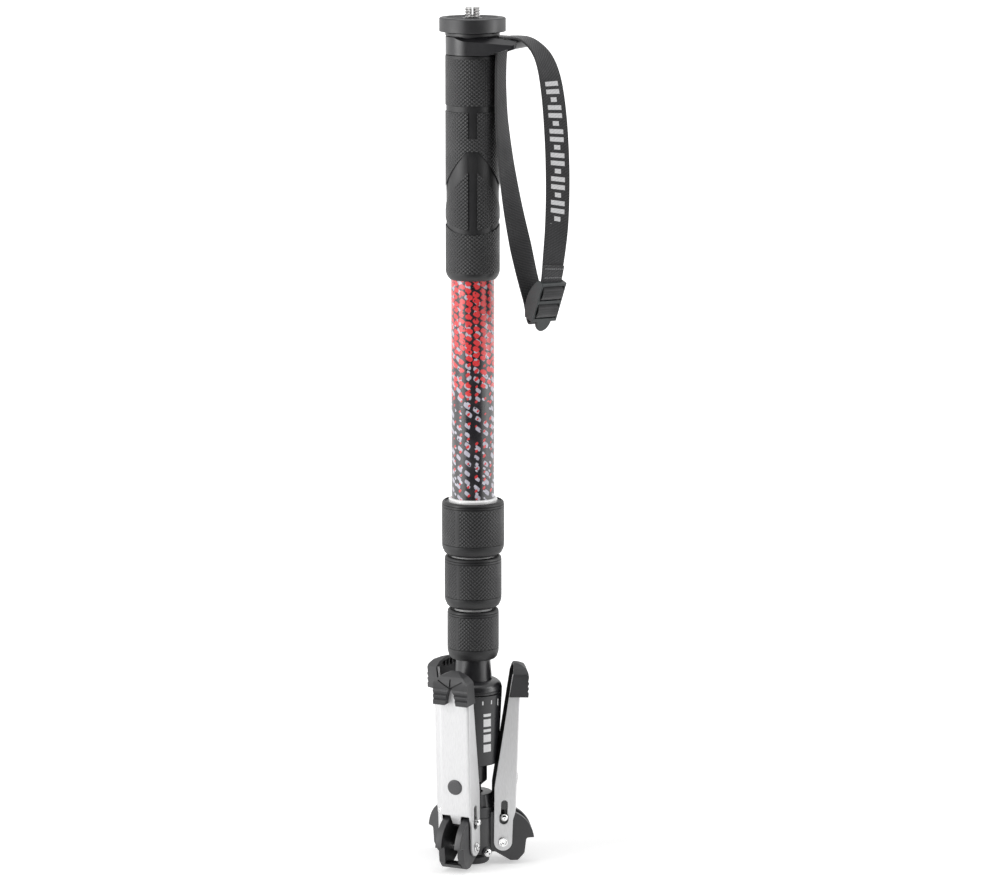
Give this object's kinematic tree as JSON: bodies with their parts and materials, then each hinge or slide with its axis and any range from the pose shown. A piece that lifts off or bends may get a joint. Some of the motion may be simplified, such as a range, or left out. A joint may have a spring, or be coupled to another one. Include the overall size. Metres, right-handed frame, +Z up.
{
  "type": "camera monopod",
  "caption": "Telescoping camera monopod with twist locks, a padded grip, a wrist strap, a pan and tilt base, and folding feet.",
  "frame": {"origin": "foot of the camera screw, at the middle of the plate's top face", "axes": "+Z up along the screw and the tubes, +X toward the strap's side, -Y toward the viewer"},
  "size_m": [0.0874, 0.0725, 0.5288],
  "materials": {
    "screw_steel": "bright, turned",
    "plate_plastic": "matt black",
    "pad_rubber": "matt black",
    "head_aluminium": "satin black",
    "grip_rubber": "fine knurl, matt",
    "printed_tube": "charcoal with red and pale flecks, glossy",
    "black_tube": "satin black",
    "collar_plastic": "satin black",
    "webbing": "woven twill",
    "buckle_plastic": "semi gloss black",
    "bright_aluminium": "polished",
    "lock_rubber": "fine knurl, matt",
    "inner_plastic": "moulded",
    "rotor_steel": "turned",
    "base_plastic": "satin black",
    "foot_rubber": "matt black",
    "bright_screws": "bright",
    "leg_aluminium": "pale satin anodised",
    "plug_plastic": "satin dark grey"
  },
  "bodies": {
    "upper": {"camera_screw": "screw_steel", "camera_plate": "plate_plastic", "plate_pad": "pad_rubber", "head_plug": "head_aluminium", "hand_grip": "grip_rubber", "tube_1": "printed_tube", "lock_1_ring": "bright_aluminium", "lock_1_collet": "inner_plastic"},
    "strap_collar": {"strap_collar": "collar_plastic", "wrist_strap": "webbing", "strap_buckle": "buckle_plastic"},
    "lock_1": {"lock_1_sleeve": "lock_rubber", "lock_1_nut": "inner_plastic"},
    "lock_2": {"lock_2_sleeve": "lock_rubber", "lock_2_nut": "inner_plastic"},
    "lock_3": {"lock_3_sleeve": "lock_rubber", "lock_3_nut": "inner_plastic"},
    "section_2": {"tube_2": "black_tube", "tube_2_bush": "inner_plastic", "lock_2_ring": "bright_aluminium", "lock_2_collet": "inner_plastic"},
    "section_3": {"tube_3": "black_tube", "tube_3_bush": "inner_plastic", "lock_3_ring": "bright_aluminium", "lock_3_collet": "inner_plastic"},
    "section_4": {"tube_4": "black_tube", "tube_4_bush": "inner_plastic", "column_sleeve": "head_aluminium", "cartridge_cap": "head_aluminium", "cartridge_rotor": "rotor_steel"},
    "cartridge": {"cartridge_housing": "head_aluminium", "cartridge_bush": "inner_plastic", "ball_stem": "head_aluminium"},
    "ball_seat": {"ball_seat": "inner_plastic"},
    "base": {"socket_housing": "head_aluminium", "leg_base": "base_plastic", "foot": "foot_rubber", "foot_bolt": "rotor_steel", "base_screws": "bright_screws", "leg_1_pivot": "bright_screws", "leg_2_pivot": "bright_screws", "leg_3_pivot": "bright_screws"},
    "leg_1": {"leg_1_channel": "leg_aluminium", "leg_1_pad": "foot_rubber", "leg_1_plug": "plug_plastic"},
    "latch_1": {"leg_1_latch": "bright_screws"},
    "leg_2": {"leg_2_channel": "leg_aluminium", "leg_2_pad": "foot_rubber", "leg_2_plug": "plug_plastic"},
    "latch_2": {"leg_2_latch": "bright_screws"},
    "leg_3": {"leg_3_channel": "leg_aluminium", "leg_3_pad": "foot_rubber", "leg_3_plug": "plug_plastic"},
    "latch_3": {"leg_3_latch": "bright_screws"}
  },
  "joints": [
    {"name": "strap_collar_turn", "type": "hinge", "parent": "upper", "child": "strap_collar", "pos_m": [0, 0, -0.0166], "axis": [0, 0, 1], "continuous": true},
    {"name": "lock_1_twist", "type": "hinge", "parent": "upper", "child": "lock_1", "pos_m": [0, 0, -0.3112], "axis": [0, 0, 1], "range_deg": [0, 100]},
    {"name": "lock_2_twist", "type": "hinge", "parent": "section_2", "child": "lock_2", "pos_m": [0, 0, -0.3448], "axis": [0, 0, 1], "range_deg": [0, 100]},
    {"name": "lock_3_twist", "type": "hinge", "parent": "section_3", "child": "lock_3", "pos_m": [0, 0, -0.3775], "axis": [0, 0, 1], "range_deg": [0, 100]},
    {"name": "tube_2_slide", "type": "slide", "parent": "upper", "child": "section_2", "axis": [0, 0, -1], "range_m": [0, 0.23]},
    {"name": "tube_3_slide", "type": "slide", "parent": "section_2", "child": "section_3", "axis": [0, 0, -1], "range_m": [0, 0.26]},
    {"name": "tube_4_slide", "type": "slide", "parent": "section_3", "child": "section_4", "axis": [0, 0, -1], "range_m": [0, 0.29]},
    {"name": "pan", "type": "hinge", "parent": "section_4", "child": "cartridge", "pos_m": [0, 0, -0.43], "axis": [0, 0, 1], "continuous": true},
    {"name": "ball_tilt_x", "type": "hinge", "parent": "cartridge", "child": "ball_seat", "pos_m": [0, 0, -0.48383], "axis": [1, 0, 0], "range_deg": [-3, 3]},
    {"name": "ball_tilt_y", "type": "hinge", "parent": "ball_seat", "child": "base", "pos_m": [0, 0, -0.48383], "axis": [0, 1, 0], "range_deg": [-3, 3]},
    {"name": "leg_1_fold", "type": "hinge", "parent": "base", "child": "leg_1", "pos_m": [-0.00744, -0.01595, -0.5084], "axis": [0.9063, -0.4226, 0], "range_deg": [0, 90]},
    {"name": "leg_1_latch_slide", "type": "slide", "parent": "leg_1", "child": "latch_1", "axis": [-0.0147, -0.0316, 0.9994], "range_m": [0, 0.008], "stiffness_N_per_m": 150, "springref_m": -0.01},
    {"name": "leg_2_fold", "type": "hinge", "parent": "base", "child": "leg_2", "pos_m": [0.01753, 0.00153, -0.5084], "axis": [-0.0872, 0.9962, 0], "range_deg": [0, 90]},
    {"name": "leg_2_latch_slide", "type": "slide", "parent": "leg_2", "child": "latch_2", "axis": [0.0348, 0.003, 0.9994], "range_m": [0, 0.008], "stiffness_N_per_m": 150, "springref_m": -0.01},
    {"name": "leg_3_fold", "type": "hinge", "parent": "base", "child": "leg_3", "pos_m": [-0.01009, 0.01442, -0.5084], "axis": [-0.8192, -0.5736, 0], "range_deg": [0, 90]},
    {"name": "leg_3_latch_slide", "type": "slide", "parent": "leg_3", "child": "latch_3", "axis": [-0.02, 0.0286, 0.9994], "range_m": [0, 0.008], "stiffness_N_per_m": 150, "springref_m": -0.01}
  ]
}
